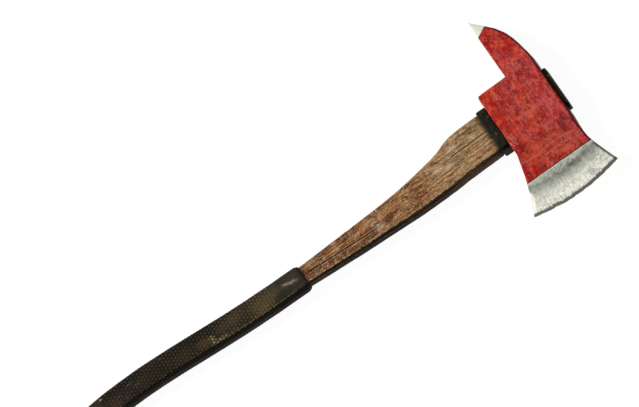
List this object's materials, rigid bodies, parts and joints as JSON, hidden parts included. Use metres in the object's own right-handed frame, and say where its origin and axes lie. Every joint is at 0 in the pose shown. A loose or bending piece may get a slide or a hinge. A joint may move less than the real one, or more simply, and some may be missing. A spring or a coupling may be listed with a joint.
{
  "type": "fire axe",
  "caption": "Pick-head fire axe: forged head with flared cutting bit and pointed pick, on a curved wooden handle with a textured rubber grip.",
  "frame": {"origin": "middle of the underside of the axe's bounding box, with the axe lying on its side", "axes": "+X along the handle from the grip to the head, +Y from the cutting edge to the pick, +Z out of the upper side face"},
  "size_m": [0.8234, 0.2782, 0.036],
  "materials": {
    "head_paint": "worn red enamel over forged steel, bare brushed steel at the bit and the tip of the pick",
    "handle_wood": "weathered, oiled hickory with cracks and worn ridges",
    "wedge_wood": "dry hardwood",
    "wedge_steel": "plain steel",
    "collar_rubber": "matte, scuffed",
    "cap_rubber": "matte, scuffed",
    "grip_rubber": "matte with raised dots, worn"
  },
  "bodies": {
    "root": {"axe_head": "head_paint", "handle": "handle_wood", "kerf_wedge": "wedge_wood", "step_wedge_bit_side": "wedge_steel", "step_wedge_pick_side": "wedge_steel", "eye_collar": "collar_rubber", "top_cap": "cap_rubber", "grip_sleeve": "grip_rubber"}
  },
  "joints": []
}
